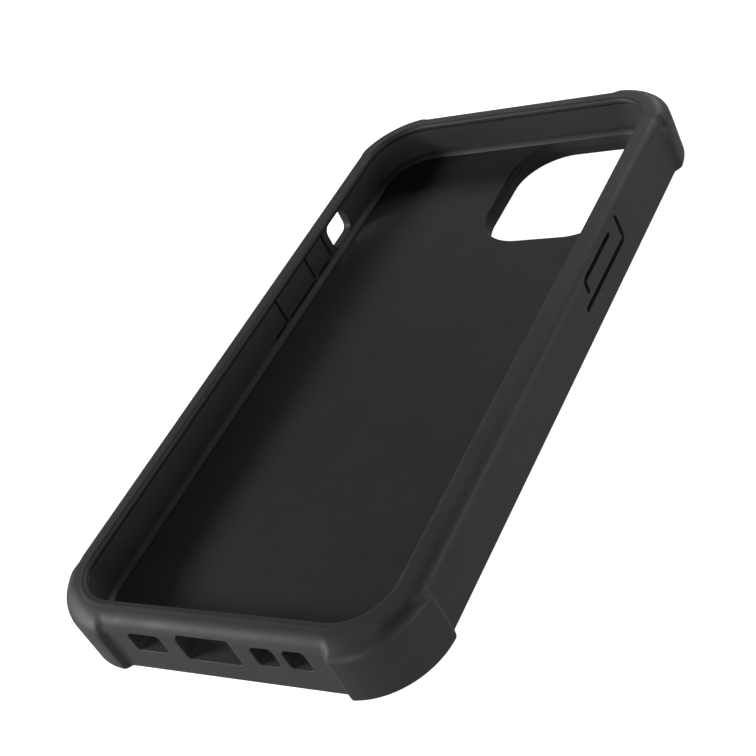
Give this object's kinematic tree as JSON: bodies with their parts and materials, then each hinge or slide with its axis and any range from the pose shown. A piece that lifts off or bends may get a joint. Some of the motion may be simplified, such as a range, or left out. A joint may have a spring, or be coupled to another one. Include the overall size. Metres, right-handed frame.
{
  "type": "phone case",
  "caption": "Soft bumper case for a 6.1-inch phone: framed back plate, camera opening, moulded side buttons and bottom ports.",
  "frame": {"origin": "centre of the back, in the plane that the case rests on", "axes": "+X across the case towards the power button, +Y along it towards the camera end, +Z out of the open front"},
  "size_m": [0.0822, 0.1574, 0.0131],
  "materials": {
    "soft_rubber": "matte, fine grain",
    "plate": "matte, fine grain",
    "camera_ring": "satin",
    "soft_rubber_buttons": "matte, fine grain"
  },
  "bodies": {
    "case": {"bumper_frame": "soft_rubber", "back_plate": "plate", "camera_guard": "camera_ring"},
    "power_key": {"power_button": "soft_rubber_buttons"},
    "volume_up_key": {"volume_up_button": "soft_rubber_buttons"},
    "volume_down_key": {"volume_down_button": "soft_rubber_buttons"}
  },
  "joints": [
    {"name": "power_press", "type": "slide", "parent": "case", "child": "power_key", "axis": [-1, 0, 0], "range_m": [0, 0.0006], "stiffness_N_per_m": 4000},
    {"name": "volume_up_press", "type": "slide", "parent": "case", "child": "volume_up_key", "axis": [1, 0, 0], "range_m": [0, 0.0006], "stiffness_N_per_m": 4000},
    {"name": "volume_down_press", "type": "slide", "parent": "case", "child": "volume_down_key", "axis": [1, 0, 0], "range_m": [0, 0.0006], "stiffness_N_per_m": 4000}
  ]
}
